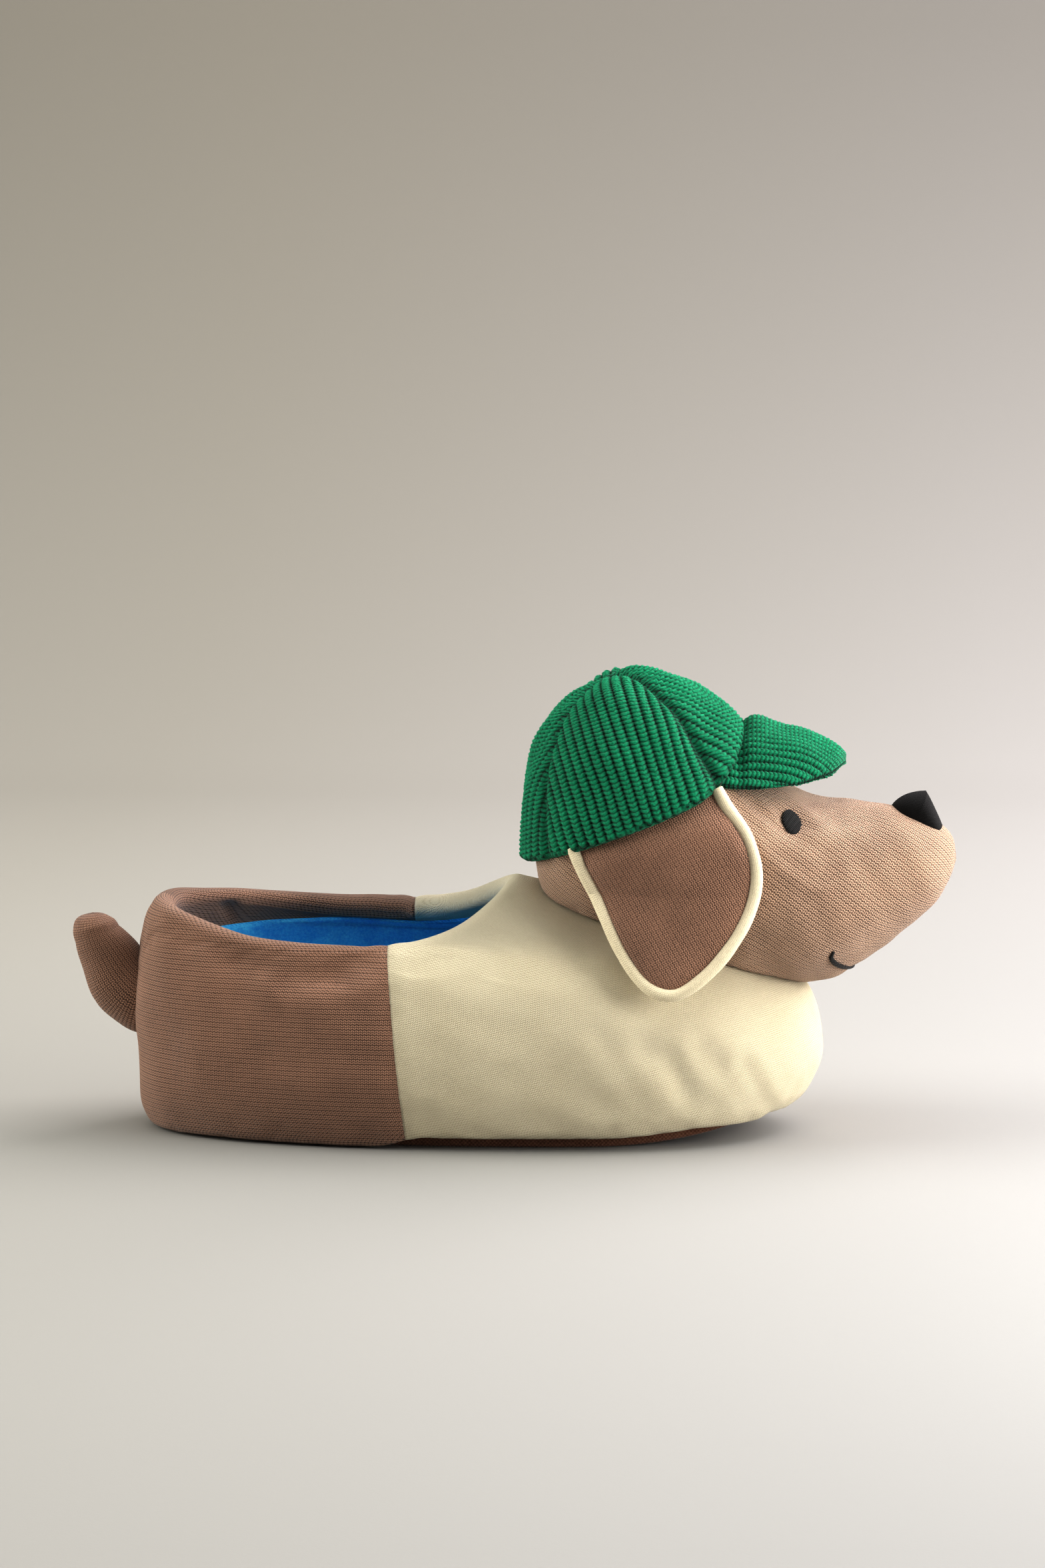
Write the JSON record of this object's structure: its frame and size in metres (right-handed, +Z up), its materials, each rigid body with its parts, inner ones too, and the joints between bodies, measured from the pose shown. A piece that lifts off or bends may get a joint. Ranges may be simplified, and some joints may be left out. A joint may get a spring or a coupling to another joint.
{
  "type": "house slipper",
  "caption": "Padded child's house slipper with a hollow soft upper, a stuffed dog's head in a knit cap on the toe and a stuffed tail at the heel.",
  "frame": {"origin": "on the floor, under the middle of the padded body's length, at the flat of the sole (mount floor_rest)", "axes": "+X towards the toe, +Y towards the inner (medial) side of the right foot, +Z up"},
  "size_m": [0.258, 0.0967, 0.135],
  "materials": {
    "brown_knit": "fine jersey knit, matt",
    "cream_knit": "fine jersey knit, matt",
    "green_knit": "chunky rib knit, matt",
    "black_knit": "fine knit, matt",
    "black_thread": "satin stitch, slight sheen",
    "blue_lining": "brushed jersey, matt",
    "sole_cloth": "woven sole fabric, matt"
  },
  "bodies": {
    "root": {"outsole": "sole_cloth", "insole": "blue_lining", "upper": "brown_knit", "head": "brown_knit", "cap_crown": "green_knit", "cap_visor": "green_knit", "ear_right": "brown_knit", "ear_left": "brown_knit", "ear_binding_right": "cream_knit", "ear_binding_left": "cream_knit", "nose": "black_knit", "eye_right": "black_thread", "eye_left": "black_thread", "mouth": "black_thread", "tail": "brown_knit"}
  },
  "joints": []
}
